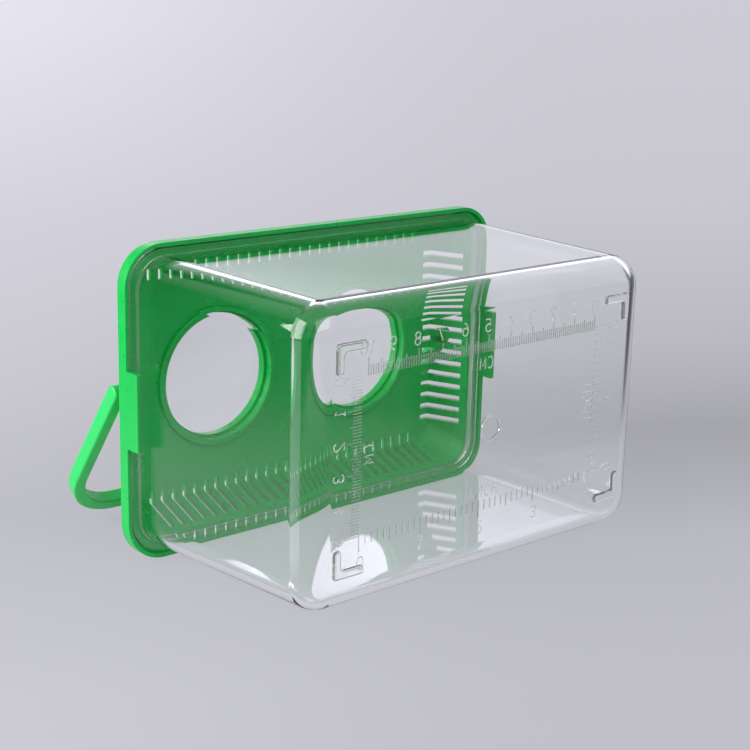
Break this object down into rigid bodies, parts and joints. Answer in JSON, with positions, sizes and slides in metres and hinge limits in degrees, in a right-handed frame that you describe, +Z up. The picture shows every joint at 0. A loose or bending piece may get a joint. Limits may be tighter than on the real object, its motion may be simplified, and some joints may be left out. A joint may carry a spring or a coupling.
{
  "type": "bug viewer",
  "caption": "Clear rectangular tub with a vented lid that holds magnifying lenses and a swinging carry handle, lying on its long side.",
  "frame": {"origin": "centre of the bounding box's underside, on the surface that the case lies on", "axes": "+X along the case's long side, +Z up, +Y from the tub's base to the lid, with the case lying on its long side"},
  "size_m": [0.1642, 0.1504, 0.108],
  "materials": {
    "clear_plastic": "clear polystyrene, polished",
    "green_plastic": "moulded, satin gloss",
    "lens_plastic": "clear acrylic, polished"
  },
  "bodies": {
    "tub": {"tub": "clear_plastic"},
    "lid": {"lid": "green_plastic", "lens_left": "lens_plastic", "lens_right": "lens_plastic"},
    "bail": {"bail": "green_plastic"}
  },
  "joints": [
    {"name": "lid_pull", "type": "slide", "parent": "tub", "child": "lid", "axis": [0, 0.9972, 0.0742], "range_m": [0, 0.03]},
    {"name": "bail_swing", "type": "hinge", "parent": "lid", "child": "bail", "pos_m": [0, 0.03096, 0.05519], "axis": [1, 0, 0], "range_deg": [-37.8, 146.2]}
  ]
}
